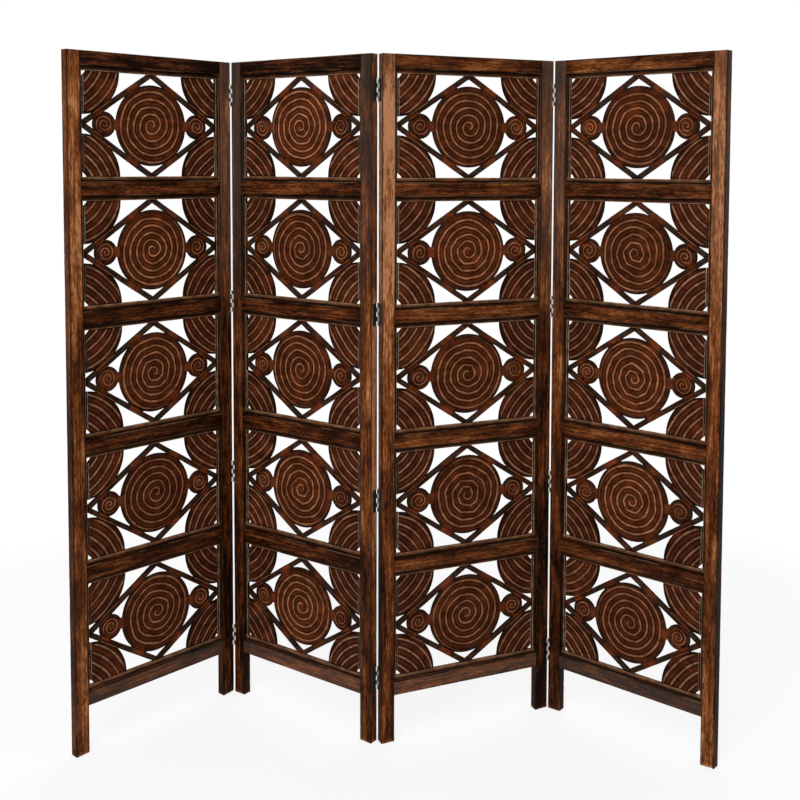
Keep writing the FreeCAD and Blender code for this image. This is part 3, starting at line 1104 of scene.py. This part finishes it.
# Hinges: four small steel butt hinges to a joint, with their leaves let into the edges of the stiles and
# screwed there, and a loose pin through the knuckles. They keep the frame's own solids. Black paint
# covers the leaves, and the barrels are rubbed bare by handling.
barrel_reach = 0.0022
paint_reach = 0.0032
steel_gloss = 0.5


def object_place(tree):
    """The place of a point in the axes of its object."""
    return add_node(tree, "ShaderNodeTexCoord", {}).outputs["Object"]


def length_of(tree, vector):
    """The length of a vector."""
    return add_node(tree, "ShaderNodeVectorMath", {0: vector}, operation="LENGTH").outputs["Value"]


def hinge_steel(name, pin_place):
    """Black paint over steel that is rubbed off about the pin of one joint."""
    material, tree, shader = new_material(name, steel_gloss)
    place = object_place(tree)
    aside = combine_vectors(tree, "SUBTRACT", place, pin_place)
    level = combine_vectors(tree, "MULTIPLY", aside, (1, 1, 0))
    bare = between(tree, length_of(tree, level), paint_reach, barrel_reach)
    dusty = cloud(tree, place, scale=(260, 260, 180), detail=3, low=0.52, high=0.7)
    tarnish = cloud(tree, place, scale=(300, 300, 120), detail=3, low=0.40, high=0.62)
    paint = tinted(tree, stain(20, 20, 19), stain(64, 61, 57), dusty, weight=0.6)
    steel = mix(tree, tarnish, stain(186, 186, 178), stain(96, 96, 90))
    set_inputs(tree, shader, {
        "Base Color": mix(tree, bare, paint, steel),
        "Roughness": total(tree, 0.5, (bare, -0.18), (tarnish, 0.1)),
        "Metallic": combine(tree, "MULTIPLY", bare, 0.9),
    })
    return material


def screw_steel():
    """Dark steel screw heads, scratched lighter about the slots."""
    material, tree, shader = new_material("dark_screw_steel", steel_gloss)
    scratched = cloud(tree, object_place(tree), scale=(900, 900, 900), detail=3, low=0.5, high=0.7)
    set_inputs(tree, shader, {
        "Base Color": mix(tree, scratched, stain(48, 46, 44), stain(120, 114, 106)),
        "Roughness": total(tree, 0.5, (scratched, -0.15)),
        "Metallic": 0.6,
    })
    return material


finishes = {"screws": screw_steel()}
for joint in frame["record"]["behaviour"]["joints"]:
    pair = joint["name"].removeprefix("hinge_")
    left, right = pair.split("_")
    steel = hinge_steel("worn_black_hinge_steel_" + pair, joint["pos_m"])
    finishes["pins_" + pair] = steel
    finishes["panel_" + left + "_right_hinge_leaves"] = steel
    finishes["panel_" + right + "_left_hinge_leaves"] = steel
for node, solid in frame["nodes"].items():
    for ending, finish in finishes.items():
        if node.endswith(ending):
            solid.data.materials.clear()
            solid.data.materials.append(finish)


# The floor and the light of a plain studio: a pale floor that keeps the screen's shadow and turns into
# the white background further out, one wide soft lamp above the front and a weaker one behind, and an
# even white surround.
surround_light = 0.55
floor_size = 9
floor_white = 0.82
fade_start = 0.9
fade_end = 2.2
lamp_aim = Vector((0, 0, 0.9))


def seen_directly(tree):
    """1 for what the camera, a reflection or a view through glass meets, and 0 for light on the object."""
    path = add_node(tree, "ShaderNodeLightPath", {})
    seen = combine(tree, "MAXIMUM", path.outputs["Is Camera Ray"], path.outputs["Is Glossy Ray"])
    return combine(tree, "MAXIMUM", seen, path.outputs["Is Transmission Ray"])


surround = bpy.data.worlds.new("studio")
scene.world = surround
surround.use_nodes = True
tree = surround.node_tree
strength = combine(tree, "MAXIMUM", seen_directly(tree), surround_light)
set_inputs(tree, tree.nodes["Background"], {"Color": (1, 1, 1, 1), "Strength": strength})

bm = bmesh.new()
bmesh.ops.create_grid(bm, x_segments=1, y_segments=1, size=floor_size)
floor_mesh = new_mesh(bm, "floor")
floor = bpy.data.objects.new("floor", floor_mesh)
scene.collection.objects.link(floor)
floor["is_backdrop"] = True
floor_paint, tree, shader = new_material("pale_floor", gloss=0)
set_inputs(tree, shader, {"Base Color": (0.95, 0.95, 0.95, 1), "Roughness": 0.9})
distance = length_of(tree, object_place(tree))
whiteness = combine(tree, "MAXIMUM", between(tree, distance, fade_start, fade_end), floor_white)
whiteness = combine(tree, "MULTIPLY", whiteness, seen_directly(tree))
glow = add_node(tree, "ShaderNodeEmission", {"Strength": 1.0})
mixed = add_node(tree, "ShaderNodeMixShader", {0: whiteness, 1: shader.outputs[0], 2: glow.outputs[0]})
set_inputs(tree, tree.nodes["Material Output"], {"Surface": mixed.outputs[0]})
floor_mesh.materials.append(floor_paint)


def soft_lamp(name, place, size, power):
    """A wide square lamp that looks at the middle of the screen."""
    data = bpy.data.lights.new(name, "AREA")
    data.size = size
    data.energy = power
    lamp = bpy.data.objects.new(name, data)
    lamp.location = place
    lamp.rotation_euler = (lamp_aim - Vector(place)).to_track_quat("-Z", "Y").to_euler()
    scene.collection.objects.link(lamp)


soft_lamp("key", place=(-1.2, -3.4, 3.6), size=2.4, power=110)
soft_lamp("back", place=(1.0, 3.6, 3.4), size=2.4, power=60)


# The camera of the photograph: it stands in front at eye height and looks a little down, and its frame is
# shifted so that the whole screen fits. Its place and focal length come from the screen's own corners.
image_size = 800
focal_pixels = 1122.0
principal_pixel = (427.6, 232.5)
camera_place = Vector((0.0852, -3.0007, 1.5455))
camera_pitch = math.radians(-3.508)
camera_roll = math.radians(0.242)
sensor_width = 36

camera_data = bpy.data.cameras.new("camera")
camera_data.sensor_width = sensor_width
camera_data.lens = sensor_width * focal_pixels / image_size
camera_data.shift_x = 0.5 - principal_pixel[0] / image_size
camera_data.shift_y = principal_pixel[1] / image_size - 0.5
camera = bpy.data.objects.new("camera", camera_data)
looking = Matrix.Rotation(math.radians(90) + camera_pitch, 4, "X") @ Matrix.Rotation(camera_roll, 4, "Z")
camera.matrix_world = Matrix.Translation(camera_place) @ looking
scene.collection.objects.link(camera)
scene.camera = camera
scene.view_settings.view_transform = "Standard"

low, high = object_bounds()
